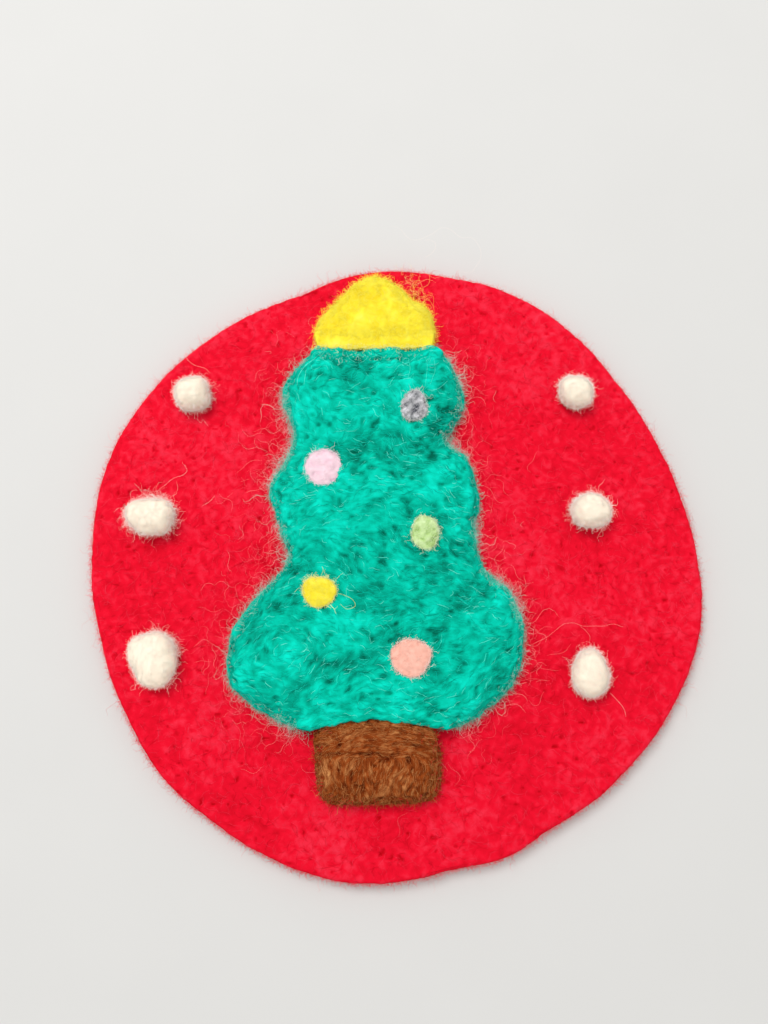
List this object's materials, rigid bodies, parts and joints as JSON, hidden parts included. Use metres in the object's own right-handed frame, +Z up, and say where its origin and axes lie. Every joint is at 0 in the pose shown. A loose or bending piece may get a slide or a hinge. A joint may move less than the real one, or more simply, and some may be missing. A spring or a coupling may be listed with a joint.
{
  "type": "needle-felted tree round",
  "caption": "Hand-cut round of red felt with a needle-felted green tree, its trunk, topper and ornaments, and white wool snow balls, lying flat.",
  "frame": {"origin": "under the middle of the felt round, on the flat face that it lies on", "axes": "+Z up out of the felted face, +Y up the tree from its trunk to its topper, +X to the tree's right as it is looked at"},
  "size_m": [0.0902, 0.0908, 0.0076],
  "materials": {
    "red_felt": "matte",
    "green_wool": "matte",
    "brown_wool": "matte",
    "yellow_wool": "matte",
    "white_wool": "matte",
    "grey_wool": "matte",
    "pink_wool": "matte",
    "lime_wool": "matte",
    "salmon_wool": "matte"
  },
  "bodies": {
    "root": {"felt_round": "red_felt", "tree_body": "green_wool", "tree_trunk": "brown_wool", "tree_topper": "yellow_wool", "ornament_grey": "grey_wool", "ornament_pink": "pink_wool", "ornament_lime": "lime_wool", "ornament_yellow": "yellow_wool", "ornament_salmon": "salmon_wool", "snow_left_top": "white_wool", "snow_left_middle": "white_wool", "snow_left_bottom": "white_wool", "snow_right_top": "white_wool", "snow_right_middle": "white_wool", "snow_right_bottom": "white_wool"}
  },
  "joints": []
}
